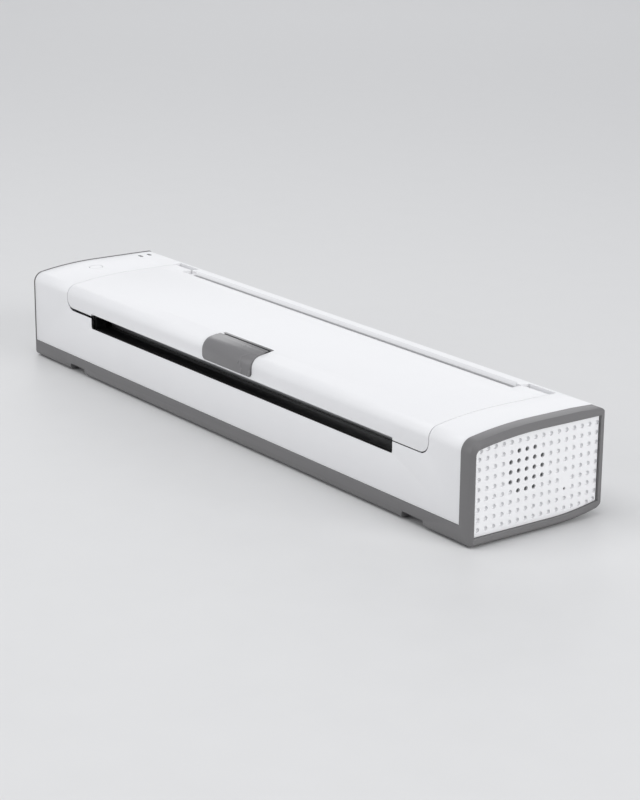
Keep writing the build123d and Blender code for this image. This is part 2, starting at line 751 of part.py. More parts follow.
# ---- Inner frame of the lid: paper guide with cheeks that carry the roller ----
guide_rear = (19.2, 36.9)
guide_middle = (6.0, 31.2)
guide_front = (-8.4, 28.9)
under_lid = skin + wall + fit
with BuildPart() as lid_frame:
    with BuildSketch() as guide:
        with BuildLine():
            low = ThreePointArc(guide_rear, guide_middle, guide_front)
            raised = [(y - 0.5, z + guide_thickness) for y, z in (guide_rear, guide_middle, guide_front)]
            high = ThreePointArc(*raised)
            Line(low @ 0, high @ 0)
            Line(low @ 1, high @ 1)
        make_face()
    span(guide.sketch, at_lid(-1, cheek_outer), at_lid(1, cheek_outer))
    # Ribs from the guide up to the lid.
    with BuildSketch() as web:
        add(guide.sketch)
        with BuildLine():
            top_rear = (16.5, crown(16.5, under_lid))
            top_front = (-7.0, crown(-7.0, under_lid))
            Polyline(
                top_front,
                (guide_front[0], guide_front[1] + 1),
                (guide_middle[0], guide_middle[1] + 1),
                top_rear,
                (crown_y, crown(crown_y, under_lid)),
                top_front,
            )
        make_face()
    ribs(web.sketch, [lid_shift + index * web_pitch - 0.6 for index in range(-2, 3)], 1.2)
    with BuildSketch() as cheek:
        add(web.sketch)
        with Locations((platen_y, platen_z)):
            Circle(cheek_radius)
        Polygon(
            (platen_y, platen_z + cheek_radius),
            (platen_y + 2, platen_z - cheek_radius),
            guide_front,
            (-7.0, crown(-7.0, skin + wall + 1)),
            align=None,
        )
        add(inset_outline(under_lid), mode=Mode.INTERSECT)
        with Locations((platen_y, platen_z)):
            RegularPolygon(bush_radius + seat, bush_sides, mode=Mode.SUBTRACT)
    both_ends(cheek.sketch, cheek_inner, cheek_outer)
    posts(lid_screws_at, guide_middle[1] + 1, lid_boss_low - fit, board_boss_radius)
    posts(lid_screws_at, guide_front[1], lid_head_z, screw_head_radius + fit, Mode.SUBTRACT)
    posts(lid_screws_at, guide_front[1], lid_boss_low, screw_radius + fit, Mode.SUBTRACT)
lid_frame.part.label = "lid_frame"

# ---- Platen roller, carried by the lid ----
with BuildPart() as platen_shaft:
    shaft_end = gear_x + gear_width + 0.2
    rod(at_lid(-1, cheek_outer + 3), at_lid(1, shaft_end), platen_y, platen_z, shaft_radius)
platen_shaft.part.label = "platen_shaft"

with BuildPart() as platen_rubber:
    rod(at_lid(-1, rubber_half), at_lid(1, rubber_half), platen_y, platen_z, rubber_radius)
    bore_half = rubber_half + 1
    rod(at_lid(-1, bore_half), at_lid(1, bore_half), platen_y, platen_z, shaft_radius + seat, Mode.SUBTRACT)
platen_rubber.part.label = "platen_rubber"

with BuildPart() as platen_bushes:
    with BuildSketch() as bush:
        with Locations((platen_y, platen_z)):
            RegularPolygon(bush_radius, bush_sides)
    both_ends(bush.sketch, cheek_inner, side_outer + 0.4)
    end_rods(cheek_inner - 1, side_outer + 1, platen_y, platen_z, shaft_radius + bearing, Mode.SUBTRACT)
platen_bushes.part.label = "platen_bushes"

toward_gear = -90 + train_angle
toward_motor = motor_angle
with BuildPart() as platen_gear:
    with BuildSketch(side_plane(at_lid(1, gear_x))):
        with Locations((platen_y, platen_z)):
            add(gear_outline(platen_teeth, toward_gear))
            Circle(shaft_radius + seat, mode=Mode.SUBTRACT)
    extrude(amount=gear_width)
platen_gear.part.label = "platen_gear"

with BuildPart() as compound_gear:
    with BuildSketch(side_plane(at_lid(1, gear_x))):
        with Locations((gear_y, gear_z)):
            add(gear_outline(small_teeth, toward_gear + 180 + 180 / small_teeth))
    extrude(amount=gear_width + gear_step)
    with BuildSketch(side_plane(at_lid(1, big_gear_x))):
        with Locations((gear_y, gear_z)):
            add(gear_outline(big_teeth, toward_motor))
    extrude(amount=gear_width - gear_step)
    bore_x = (at_lid(1, gear_x - 1), at_lid(1, motor_plate_x))
    rod(*bore_x, gear_y, gear_z, stud_radius + bearing, Mode.SUBTRACT)
compound_gear.part.label = "compound_gear"

with BuildPart() as motor_pinion:
    with BuildSketch(side_plane(at_lid(1, big_gear_x))):
        with Locations((motor_y, motor_z)):
            add(gear_outline(pinion_teeth, toward_motor + 180 + 180 / pinion_teeth))
            Circle(motor_shaft_radius + seat, mode=Mode.SUBTRACT)
    extrude(amount=gear_width - gear_step)
motor_pinion.part.label = "motor_pinion"

with BuildPart() as motor_shaft:
    rod(at_lid(1, big_gear_x - fit), at_lid(1, motor_face_x + 6), motor_y, motor_z, motor_shaft_radius)
motor_shaft.part.label = "motor_shaft"

# ---- Stepper motor on its plate, and the gear stud ----
motor_boss_radius = 4.0
ear_places = [(motor_y - motor_ear, motor_z), (motor_y + motor_ear, motor_z)]
with BuildPart() as stepper_motor:
    motor_x = (at_lid(1, motor_face_x), at_lid(1, motor_face_x + motor_length))
    rod(*motor_x, motor_y, motor_z, motor_radius, sides=motor_sides)
    chamfer(stepper_motor.faces().sort_by(Axis.X)[-1].edges(), 0.8)
    boss_x = (at_lid(1, motor_plate_x), at_lid(1, motor_face_x + 1))
    rod(*boss_x, motor_y, motor_z, motor_boss_radius, sides=motor_sides // 2)
    with BuildSketch(side_plane(at_lid(1, motor_face_x))):
        with Locations((motor_y, motor_z)):
            Rectangle(2 * motor_ear, 7)
        with Locations(*ear_places):
            RegularPolygon(3.5, hidden_sides)
            RegularPolygon(screw_radius + fit, hidden_sides, mode=Mode.SUBTRACT)
    extrude(amount=ear_thickness)
    bore_x = (at_lid(1, motor_plate_x - 1), at_lid(1, motor_face_x + 7))
    rod(*bore_x, motor_y, motor_z, motor_shaft_radius + bearing, Mode.SUBTRACT)
stepper_motor.part.label = "stepper_motor"

with BuildPart() as motor_plate:
    with BuildSketch(side_plane(at_lid(1, motor_plate_x))):
        Polygon(
            (plate_posts[0][0] - 3.5, plate_posts[0][1] - 3.5),
            (plate_posts[2][0] + 4.0, plate_posts[2][1] - 3.0),
            (plate_posts[2][0] + 4.0, motor_z + 4.0),
            (plate_posts[1][0] + 4.0, plate_posts[1][1] + 4.0),
            (gear_y - 4.0, plate_posts[1][1] + 4.0),
            (plate_posts[0][0] - 3.5, gear_z),
            align=None,
        )
        with Locations((motor_y, motor_z)):
            RegularPolygon(motor_boss_radius + fit, motor_sides // 2, mode=Mode.SUBTRACT)
        with Locations((gear_y, gear_z)):
            Circle(stud_radius + seat, mode=Mode.SUBTRACT)
        with Locations(*plate_posts, *ear_places):
            RegularPolygon(screw_radius + seat, hidden_sides, mode=Mode.SUBTRACT)
    extrude(amount=plate_thickness)
motor_plate.part.label = "motor_plate"

with BuildPart() as gear_stud:
    rod(at_lid(1, side_inner), at_lid(1, motor_face_x), gear_y, gear_z, stud_radius)
    rod(at_lid(1, side_outer), at_lid(1, gear_x - 0.3), gear_y, gear_z, stud_radius + 1.2, sides=hidden_sides)
gear_stud.part.label = "gear_stud"

with BuildPart() as plate_spacers:
    with BuildSketch(side_plane(at_lid(1, side_outer))):
        with Locations(*plate_posts):
            RegularPolygon(2.4, 6)
            RegularPolygon(screw_radius + seat, hidden_sides, mode=Mode.SUBTRACT)
    extrude(amount=motor_plate_x - side_outer)
plate_spacers.part.label = "plate_spacers"

# ---- Chassis: bent steel channel that carries the head, the train and the roller's bushes ----
notch_radius = bush_radius + notch_clearance
with BuildPart() as chassis_frame:
    deck_half = (at_lid(-1, side_outer), at_lid(1, side_outer))
    with BuildSketch() as channel:
        Polygon(
            (deck_front, deck_z),
            (deck_back, deck_z),
            (deck_back, pivot_z - lug_radius - 1.5),
            (deck_back - steel, pivot_z - lug_radius - 1.5),
            (deck_back - steel, deck_top),
            (deck_front + steel, deck_top),
            (deck_front + steel, head_low),
            (deck_front, head_low),
            align=None,
        )
    span(channel.sketch, *deck_half)
    with BuildSketch() as side_sheet:
        Polygon(
            (deck_front, deck_z),
            (deck_back, deck_z),
            (deck_back, pivot_z + 4.5),
            (platen_y + 9.5, side_top),
            (deck_front + 0.5, side_top),
            align=None,
        )
        with Locations((platen_y, platen_z)):
            Circle(notch_radius, mode=Mode.SUBTRACT)
            Polygon(
                (-notch_radius, 0),
                (notch_radius, 0),
                (notch_radius + notch_flare, side_top - platen_z + fit),
                (-notch_radius - notch_flare, side_top - platen_z + fit),
                align=None,
                mode=Mode.SUBTRACT,
            )
        with Locations((pivot_y, pivot_z)):
            Circle(pivot_radius + seat, mode=Mode.SUBTRACT)
    both_ends(side_sheet.sketch, side_inner, side_outer)
    train_side = (at_lid(1, side_inner - 1), at_lid(1, side_outer + 1))
    rod(*train_side, gear_y, gear_z, stud_radius + seat, Mode.SUBTRACT)
    rods(*train_side, plate_posts, screw_radius + seat, Mode.SUBTRACT, hidden_sides)
    posts(deck_screws, deck_z - 1, deck_top + 1, screw_radius + fit, Mode.SUBTRACT)
chassis_frame.part.label = "chassis_frame"

# ---- Print head: finned heat sink, ceramic strip and its board, on a pivot rod ----
with BuildPart() as head_pivot_rod:
    rod(at_lid(-1, side_outer), at_lid(1, side_outer), pivot_y, pivot_z, pivot_radius)
head_pivot_rod.part.label = "head_pivot_rod"

with BuildPart() as head_heatsink:
    with BuildSketch(side_plane(at_lid(-1, head_half))):
        with Locations(((head_front + head_back) / 2, (head_low + head_high) / 2)):
            Rectangle(head_back - head_front, head_high - head_low)
            with Locations([(index * 3.6, (head_low - head_high + fin_depth) / 2) for index in range(-2, 3)]):
                Rectangle(1.8, fin_depth, mode=Mode.SUBTRACT)
    extrude(amount=2 * head_half)
    with BuildSketch() as lug:
        with Locations((pivot_y, pivot_z)):
            RegularPolygon(lug_radius, hidden_sides)
            Rectangle(pivot_y - head_back + 1, 2 * lug_radius - 1, align=(Align.MAX, Align.CENTER))
            Circle(pivot_radius + bearing, mode=Mode.SUBTRACT)
    ribs(lug.sketch, [lid_shift + offset - 2 for offset in (-100.0, 100.0)], 4.0)
head_heatsink.part.label = "head_heatsink"

with BuildPart() as head_ceramic:
    ceramic_x = (at_lid(-1, head_half - 0.5), at_lid(1, head_half - 0.5))
    block(ceramic_x, (ceramic_front, ceramic_back), (head_high, nip_z - nip_gap))
    fillet(head_ceramic.edges().filter_by(Axis.X).group_by(Axis.Z)[-1], 0.4)
head_ceramic.part.label = "head_ceramic"

with BuildPart() as head_board:
    block(ceramic_x, (ceramic_back + fit, head_back - fit), (head_high, head_high + 0.8))
head_board.part.label = "head_board"

with BuildPart() as head_cover:
    with BuildSketch(side_plane(at_lid(-1, head_half - 1))):
        Polygon(
            (ceramic_back + 2, head_high + 0.8),
            (head_back - 1, head_high + 0.8),
            (head_back - 1, head_high + 2.0),
            (ceramic_back + 3.4, head_high + 2.0),
            (ceramic_back + 2, head_high + 1.4),
            align=None,
        )
    extrude(amount=2 * head_half - 2)
head_cover.part.label = "head_cover"

with BuildPart() as head_springs:
    spring_base = deck_top + spring_wire + fit
    spring_rise = head_low - spring_wire - fit - spring_base
    for side in (-1, 1):
        with BuildLine(Plane((at_lid(side, spring_x), spring_y, foot_proud + spring_base))) as coil:
            Helix(spring_rise / spring_turns, spring_rise, spring_radius)
        with BuildSketch(Plane(coil.line @ 0, z_dir=coil.line % 0)) as wire:
            RegularPolygon(spring_wire, 4)
        sweep(wire.sketch, path=coil.line, is_frenet=True)
head_springs.part.label = "head_springs"

# ---- Paper guides below the paper ----
inlet_rear = (inner_back - 3.4, 37.6)
inlet_middle = (12.0, 28.9)
inlet_front = (1.8, 27.9)
with BuildPart() as rear_paper_guide:
    with BuildSketch() as sheet:
        with BuildLine():
            upper = ThreePointArc(inlet_rear, inlet_middle, inlet_front)
            lowered = [(y + 0.6, z - guide_thickness) for y, z in (inlet_rear, inlet_middle, inlet_front)]
            lower = ThreePointArc(*lowered)
            Line(upper @ 0, lower @ 0)
            Line(upper @ 1, lower @ 1)
        make_face()
    guide_half = side_inner - fit
    span(sheet.sketch, at_lid(-1, guide_half), at_lid(1, guide_half))
    # Ribs under the sheet that reach the back wall.
    with BuildSketch() as leg:
        Polygon(
            (lowered[1][0], lowered[1][1]),
            (lowered[0][0] - 1, lowered[0][1]),
            (inner_back - fit, lowered[0][1] - 1),
            (inner_back - fit, lowered[0][1] - 3),
            (lowered[1][0] + 2, lowered[1][1] - 1.5),
            align=None,
        )
        add(inset_outline(under_lid), mode=Mode.INTERSECT)
    ribs(leg.sketch, [lid_shift + index * leg_pitch - 0.7 for index in range(-2, 3)], 1.4)
    # The rear corners are cut away round the hinge bosses.
    corner_y = (hinge_y - boss_radius - 2, back_y)
    pair(inner_boss - seam, side_outer, corner_y, (hinge_z - 2 * boss_radius, height), Mode.SUBTRACT)
    foot_z = (pivot_z + lug_radius, inlet_front[1] - 0.5)
    pair(guide_half - 1.5, guide_half, (inlet_front[0] + 1, deck_back), foot_z)
rear_paper_guide.part.label = "rear_paper_guide"

with BuildPart() as front_paper_guide:
    with BuildSketch(side_plane(at_lid(-1, slot_half))):
        Polygon(
            (inner_front + fit, slot_low - 0.2),
            (deck_front + 1.0, slot_low + 0.1),
            (deck_front + 1.0, head_low + fit),
            (deck_front - 1.0, head_low + fit),
            (inner_front + wall, slot_low - 2.0),
            (inner_front + wall, slot_low - 9.0),
            (inner_front + fit, slot_low - 9.0),
            align=None,
        )
    extrude(amount=2 * slot_half)
    # Upright cheeks that close the slot's ends.
    cheek_y = (inner_front + fit, deck_front - 1.0)
    pair(slot_half - 0.5, slot_half + guide_thickness, cheek_y, (slot_low - 9.0, lid_low + seam))
front_paper_guide.part.label = "front_paper_guide"

# ---- Hinge pins ----
with BuildPart() as hinge_pins:
    end_rods(inner_boss, outer_boss, hinge_y, hinge_z, pin_radius)
hinge_pins.part.label = "hinge_pins"

# ---- Latch: push tab over the lid's front edge, with a bar and two hooks behind it ----
with BuildPart() as latch_tab:
    tab_y = (front_y - beyond, tab_rear_y)
    span(band(-tab_proud, tab_thickness - tab_proud, tab_y, (tab_low, above)), tab_left, tab_right)
    run_back(tab_window(0), front_y - beyond, tab_rear_y + 1, Mode.INTERSECT)
latch_tab.part.label = "latch_tab"

with BuildPart() as latch_bar:
    block((at_lid(-1, bar_half), at_lid(1, bar_half)), (bar_front, bar_back), (bar_low, bar_high))
    tab_inner_y = front_y + tab_thickness - tab_proud
    block((tab_left + 5, tab_right - 5), (tab_inner_y, bar_front), (bar_low + 0.5, bar_high - 0.5))
    with BuildSketch() as hook:
        Polygon(
            (bar_back, bar_low + 1),
            (bar_back, hook_low),
            (hook_tip + 0.4, hook_low),
            (hook_tip, hook_low + 0.4),
            (hook_tip, hook_low + nose_height),
            (hook_tip + nose_reach, hook_low + nose_height + 0.1),
            (hook_tip + nose_reach, bar_low + 1),
            align=None,
        )
    both_ends(hook.sketch, hook_inner, bar_half)
latch_bar.part.label = "latch_bar"

with BuildPart() as latch_trim:
    trim_front = tab_rear_y + latch_travel + tab_gap
    trim_x = (tab_left - fit, tab_right + fit)
    over_tab = (tab_low, above)
    pan = tab_thickness + 1.6
    with BuildSketch() as trim_section:
        add(band(skin, skin + 2 * wall, (trim_front, bezel_rear_y), over_tab))
        add(band(under_lid, under_lid + tongue, (trim_front, bezel_rear_y + 2.6), over_tab))
        add(band(pan, pan + 1.0, (inner_front + 2.2, trim_front + 0.5), (bar_high, above)))
    span(trim_section.sketch, *trim_x)
latch_trim.part.label = "latch_trim"

# ---- Latch spring: a bent leaf between the lid's frame and the bar ----
with BuildPart() as latch_spring:
    with BuildSketch(level(bar_low + 0.5)):
        leaf_back = bar_back + latch_travel + 1.2
        leaf_front = bar_back + 0.3 * bearing
        Polygon(
            (lid_shift - leaf_half, leaf_front),
            (lid_shift - leaf_half + 6, leaf_back),
            (lid_shift + leaf_half - 6, leaf_back),
            (lid_shift + leaf_half, leaf_front),
            (lid_shift + leaf_half + 0.2, leaf_front + 0.3),
            (lid_shift + leaf_half - 5.8, leaf_back + 0.3),
            (lid_shift - leaf_half + 5.8, leaf_back + 0.3),
            (lid_shift - leaf_half - 0.2, leaf_front + 0.3),
            align=None,
        )
    extrude(amount=bar_high - bar_low - 1)
latch_spring.part.label = "latch_spring"

# ---- Main board with its charging socket, and the battery ----
with BuildPart() as main_board:
    block((main_left, main_right), (main_front, main_back), (main_low, main_top))
    board_cut = (main_low - 1, main_top + 1)
    posts(main_screws, *board_cut, screw_radius + fit, Mode.SUBTRACT)
    posts(deck_screws[:2], *board_cut, chassis_boss_radius + 0.6, Mode.SUBTRACT)
    posts(row_places(corner_rows[0])[:1], *board_cut, case_boss_radius + 0.6, Mode.SUBTRACT)
    # Processor, memory, driver and capacitors.
    for x, y, long, wide, tall in chips:
        block((x - long / 2, x + long / 2), (y - wide / 2, y + wide / 2), (main_top, main_top + tall))
main_board.part.label = "main_board"

with BuildPart() as usb_socket:
    socket_x = -panel_face_x + socket_recess
    with BuildSketch(side_plane(socket_x)):
        with Locations((socket_y, socket_z)):
            add(slot_shape(socket_width, socket_height, socket_corner))
    extrude(amount=socket_length)
    with BuildSketch(side_plane(socket_x)):
        with Locations((socket_y, socket_z)):
            add(slot_shape(socket_width - 0.7, socket_height - 0.7, socket_corner))
            Rectangle(socket_width - 2.6, 0.7, mode=Mode.SUBTRACT)
    extrude(amount=socket_length - 1.2, mode=Mode.SUBTRACT)
usb_socket.part.label = "usb_socket"

with BuildPart() as battery_pack:
    rod(battery_x - cell_length, battery_x + cell_length, battery_y, battery_z, cell_radius, sides=cell_sides)
    chamfer(battery_pack.faces().filter_by(Axis.X).edges(), 0.8)
battery_pack.part.label = "battery_pack"

# ---- Power key, its board and switch, and the indicators ----
with BuildPart() as power_button:
    posts([(key_x, key_y)], plunger_top + key_travel + bearing, above, key_radius, sides=0)
    span(inset_outline(skin), key_x - 2 * key_radius, key_x + 2 * key_radius, Mode.INTERSECT)
    flange_top = crown(key_y - key_radius - 1, skin + wall) - fit
    posts([(key_x, key_y)], flange_top - 0.8, flange_top, key_radius + 1)
power_button.part.label = "power_button"

with BuildPart() as key_board:
    block(key_board_x, (-13.0, inner_back - 0.8), (key_board_z, key_board_top))
    posts(key_screws, key_board_z - 1, key_board_top + 1, screw_radius + fit, Mode.SUBTRACT)
    for x, y in lamp_places:
        block((x - 0.8, x + 0.8), (y - 0.4, y + 0.4), (key_board_top, key_board_top + 0.5))
key_board.part.label = "key_board"

with BuildPart() as tact_switch:
    switch_z = (key_board_top, key_board_top + switch_height)
    block((key_x - 3, key_x + 3), (key_y - 3, key_y + 3), switch_z)
    posts([(key_x, key_y)], key_board_top, plunger_top, 1.6)
tact_switch.part.label = "tact_switch"

with BuildPart() as light_pipes:
    with BuildSketch(level(key_board_top + 0.6)) as lamp:
        with Locations(*lamp_places):
            add(slot_shape(lamp_length, lamp_width, lamp_corner))
    extrude(lamp.sketch, amount=height)
    lamp_x = (lamp_places[0][0] - 3 * lamp_length, lamp_places[0][0] + 3 * lamp_length)
    span(inset_outline(skin), *lamp_x, Mode.INTERSECT)
light_pipes.part.label = "light_pipes"

# ---- Board behind the right panel, with the buzzer and the reset switch ----
side_board_back = side_board_x + board_thickness
with BuildPart() as side_board:
    block((side_board_x, side_board_back), (-23.0, 25.0), (9.0, 33.5))
    board_holes = (side_board_x - 1, side_board_back + 1)
    rods(*board_holes, panel_posts, peg_radius + bearing, Mode.SUBTRACT, hidden_sides)
side_board.part.label = "side_board"

sound_y = first_dot_y + sound_centre[0] * dot_pitch
sound_z = first_dot_z - sound_centre[1] * dot_pitch
with BuildPart() as buzzer:
    rod(side_board_back, panel_inner_x - 1.0, sound_y, sound_z, 6.0, sides=2 * hidden_sides)
    rod(panel_inner_x - 1.6, panel_inner_x, sound_y, sound_z, 1.2, Mode.SUBTRACT, hidden_sides)
buzzer.part.label = "buzzer"

with BuildPart() as reset_switch:
    switch_y = (reset_y - 2.2, reset_y + 2.2)
    block((side_board_back, side_board_back + 2.5), switch_y, (reset_z - 2.2, reset_z + 2.2))
    rod(side_board_back, panel_inner_x - 0.8, reset_y, reset_z, 0.9, sides=hidden_sides)
reset_switch.part.label = "reset_switch"

# ---- Feet and screws ----
with BuildPart() as rubber_feet:
    for y in (foot_front_y, foot_back_y):
        feet = [(-foot_x, y), (foot_x, y)]
        posts(feet, -foot_proud, belly(y) + foot_recess - bearing, foot_radius, sides=foot_sides)
rubber_feet.part.label = "rubber_feet"

with BuildPart() as case_screws:
    for row in corner_rows:
        screws(row_places(row), case_head_z(row[0]), case_screw_length, 1)
case_screws.part.label = "case_screws"

with BuildPart() as chassis_screws:
    screws(deck_screws, deck_top, deck_screw_length, -1)
chassis_screws.part.label = "chassis_screws"

with BuildPart() as board_screws:
    screws(main_screws, main_top, board_screw_length, -1)
    screws(key_screws, key_board_z, board_screw_length, 1)
board_screws.part.label = "board_screws"

with BuildPart() as lid_screws:
    screws(lid_screws_at, lid_head_z, lid_boss_low - lid_head_z + 3.0, 1)
lid_screws.part.label = "lid_screws"

with BuildPart() as motor_screws:
    ear_x = at_lid(1, motor_face_x + ear_thickness)
    rods(ear_x, ear_x + screw_head, ear_places, screw_head_radius, sides=hidden_sides)
    rods(ear_x - ear_thickness - plate_thickness, ear_x, ear_places, screw_radius, sides=hidden_sides)
    plate_face = at_lid(1, motor_face_x)
    rods(plate_face, plate_face + screw_head, plate_posts, screw_head_radius, sides=hidden_sides)
    rods(plate_face - plate_thickness - 3, plate_face, plate_posts, screw_radius, sides=hidden_sides)
motor_screws.part.label = "motor_screws"

os.makedirs("parts", exist_ok=True)
pieces = (
    base_cradle, upper_housing, end_panel_right, end_panel_left, top_cover, lid_frame, platen_shaft,
    platen_rubber, platen_bushes, platen_gear, compound_gear, motor_pinion, motor_shaft, stepper_motor,
    motor_plate, gear_stud, plate_spacers, chassis_frame, head_pivot_rod, head_heatsink, head_ceramic,
    head_board, head_cover, head_springs, rear_paper_guide, front_paper_guide, hinge_pins, latch_tab,
    latch_bar, latch_trim, latch_spring, main_board, usb_socket, battery_pack, power_button, key_board,
    tact_switch, light_pipes, side_board, buzzer, reset_switch, rubber_feet, case_screws,
    chassis_screws, board_screws, lid_screws, motor_screws,
)
for piece in pieces:
    export_step(piece.part, f"parts/{piece.part.label}.step")
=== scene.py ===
import json
import math

import bmesh
import bpy
from mathutils import Matrix, Vector
from mathutils.bvhtree import BVHTree
from mathutils.geometry import tessellate_polygon

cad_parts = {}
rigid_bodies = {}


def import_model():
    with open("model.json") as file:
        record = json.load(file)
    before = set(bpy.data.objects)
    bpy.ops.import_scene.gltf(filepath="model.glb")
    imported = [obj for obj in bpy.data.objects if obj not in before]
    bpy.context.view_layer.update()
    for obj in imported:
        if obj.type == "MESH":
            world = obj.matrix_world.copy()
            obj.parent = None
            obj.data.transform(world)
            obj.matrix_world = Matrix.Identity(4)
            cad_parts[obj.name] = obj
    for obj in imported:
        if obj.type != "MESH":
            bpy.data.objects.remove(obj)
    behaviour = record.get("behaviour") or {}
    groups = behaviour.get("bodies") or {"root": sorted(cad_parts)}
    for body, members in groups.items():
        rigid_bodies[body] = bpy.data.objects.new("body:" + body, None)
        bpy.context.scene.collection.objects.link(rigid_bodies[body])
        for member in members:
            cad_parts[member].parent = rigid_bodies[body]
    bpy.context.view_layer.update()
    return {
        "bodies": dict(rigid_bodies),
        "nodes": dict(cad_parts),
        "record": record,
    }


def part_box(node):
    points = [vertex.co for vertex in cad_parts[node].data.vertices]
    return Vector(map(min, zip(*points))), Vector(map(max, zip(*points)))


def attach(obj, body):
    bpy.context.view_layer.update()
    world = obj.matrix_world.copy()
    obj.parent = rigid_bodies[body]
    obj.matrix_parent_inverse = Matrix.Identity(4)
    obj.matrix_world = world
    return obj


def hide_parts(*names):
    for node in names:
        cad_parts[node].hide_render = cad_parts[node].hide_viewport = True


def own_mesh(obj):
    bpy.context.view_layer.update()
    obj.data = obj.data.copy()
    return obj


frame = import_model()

MM = 0.001
nodes = frame["nodes"]


# ---------------------------------------------------------------- materials
def principled(name):
    """New node material: returns the material, its node tree and its surface shader."""
    material = bpy.data.materials.new(name)
    material.use_nodes = True
    tree = material.node_tree
    return material, tree, tree.nodes["Principled BSDF"]


def add_node(tree, kind, **sockets):
    """New node with some of its inputs set."""
    made = tree.nodes.new(kind)
    for socket, value in sockets.items():
        made.inputs[socket.replace("_", " ")].default_value = value
    return made


def tint(colour, factor):
    """A colour made lighter or darker."""
    return tuple(min(1.0, channel * factor) for channel in colour) + (1.0,)


def grained(name, colour, roughness, grain=0.3, depth=0.012, mottle=0.03, metal=0.0, specular=0.5, coat=0.0):
    """Moulded or machined surface: fine grain in the relief, slight mottling in colour and gloss."""
    material, tree, shader = principled(name)
    link = tree.links.new
    place = tree.nodes.new("ShaderNodeTexCoord").outputs["Object"]
    broad = add_node(tree, "ShaderNodeTexNoise", Scale=45.0, Detail=4.0, Roughness=0.55)
    link(place, broad.inputs["Vector"])
    ramp = tree.nodes.new("ShaderNodeValToRGB")
    ramp.color_ramp.elements[0].position = 0.3
    ramp.color_ramp.elements[0].color = tint(colour, 1.0 - mottle)
    ramp.color_ramp.elements[1].position = 0.7
    ramp.color_ramp.elements[1].color = tint(colour, 1.0 + mottle)
    link(broad.outputs["Fac"], ramp.inputs["Fac"])
    link(ramp.outputs["Color"], shader.inputs["Base Color"])
    gloss = add_node(tree, "ShaderNodeMapRange")
    gloss.inputs["To Min"].default_value = roughness - 0.05
    gloss.inputs["To Max"].default_value = roughness + 0.05
    link(broad.outputs["Fac"], gloss.inputs["Value"])
    link(gloss.outputs["Result"], shader.inputs["Roughness"])
    fine = add_node(tree, "ShaderNodeTexNoise", Scale=1000.0 / grain, Detail=3.0, Roughness=0.6)
    link(place, fine.inputs["Vector"])
    bump = add_node(tree, "ShaderNodeBump", Strength=0.35, Distance=depth * MM)
    link(fine.outputs["Fac"], bump.inputs["Height"])
    link(bump.outputs["Normal"], shader.inputs["Normal"])
    shader.inputs["Metallic"].default_value = metal
    shader.inputs["Specular IOR Level"].default_value = specular
    shader.inputs["Coat Weight"].default_value = coat
    return material


WHITE = (0.80, 0.80, 0.81)
GREY = (0.155, 0.152, 0.154)
LATCH_GREY = (0.182, 0.179, 0.182)
BLACK = (0.004, 0.004, 0.0043)

# name: colour, roughness, grain in mm, relief in mm, mottle, other settings
SURFACES = {
    "white_plastic": (WHITE, 0.42, 0.35, 0.010, 0.008, {}),
    "grey_plastic": (GREY, 0.40, 0.3, 0.02, 0.03, {}),
    "latch_grey": (LATCH_GREY, 0.28, 0.3, 0.015, 0.03, {}),
    "black_plastic": (BLACK, 0.5, 0.3, 0.02, 0.1, {"specular": 0.22}),
    "gear_plastic": ((0.62, 0.60, 0.54), 0.38, 0.5, 0.01, 0.04, {}),
    "rubber": ((0.03, 0.03, 0.03), 0.75, 0.25, 0.05, 0.12, {"specular": 0.3}),
    "platen_rubber": ((0.045, 0.045, 0.047), 0.6, 0.2, 0.02, 0.08, {}),
    "steel": ((0.58, 0.58, 0.59), 0.28, 0.15, 0.008, 0.05, {"metal": 1.0}),
    "aluminium": ((0.72, 0.73, 0.74), 0.38, 0.2, 0.01, 0.04, {"metal": 1.0}),
    "ceramic": ((0.72, 0.69, 0.62), 0.15, 0.4, 0.004, 0.02, {"coat": 0.5}),
    "circuit_board": ((0.012, 0.095, 0.045), 0.35, 0.8, 0.02, 0.2, {}),
    "battery_wrap": ((0.02, 0.10, 0.28), 0.3, 1.2, 0.03, 0.1, {"coat": 0.3}),
    "lamp_window": ((0.02, 0.02, 0.023), 0.35, 0.6, 0.004, 0.1, {"specular": 0.3}),
}
materials = {name: grained(name, *values, **more) for name, (*values, more) in SURFACES.items()}
node_slot = {entry["node"]: entry["material_slot"] for entry in frame["record"]["subparts"]}
for name, piece in nodes.items():
    piece.data.materials.clear()
    piece.data.materials.append(materials[node_slot[name]])
body_of = {}
for name, piece in nodes.items():
    for body, empty in frame["bodies"].items():
        if piece.parent == empty:
            body_of[name] = body


# ---------------------------------------------------------------- dressed shells
def outside_directions():
    """Directions spread over the sphere, used to tell which edges can be seen."""
    found = []
    for azimuth in range(0, 360, 30):
        for elevation in (-60, -20, 15, 50):
            a, e = math.radians(azimuth), math.radians(elevation)
            found.append(Vector((math.cos(a) * math.cos(e), math.sin(a) * math.cos(e), math.sin(e))))
    return found + [Vector((0, 0, 1)), Vector((0, 0, -1))]


def object_tree():
    """Search tree of every CAD node at rest."""
    points, faces = [], []
    for piece in nodes.values():
        start = len(points)
        points += [v.co.copy() for v in piece.data.vertices]
        faces += [[start + i for i in p.vertices] for p in piece.data.polygons]
    return BVHTree.FromPolygons(points, faces)


TREE = object_tree()
DIRECTIONS = outside_directions()


def seen(edge):
    """Whether a sharp edge can be seen from outside the closed printer."""
    middle = (edge.verts[0].co + edge.verts[1].co) / 2
    normal = sum((f.normal for f in edge.link_faces), Vector()).normalized()
    start = middle + normal * 0.05 * MM
    for direction in DIRECTIONS:
        if direction.dot(normal) > 0.1 and TREE.ray_cast(start, direction)[0] is None:
            return True
    return False


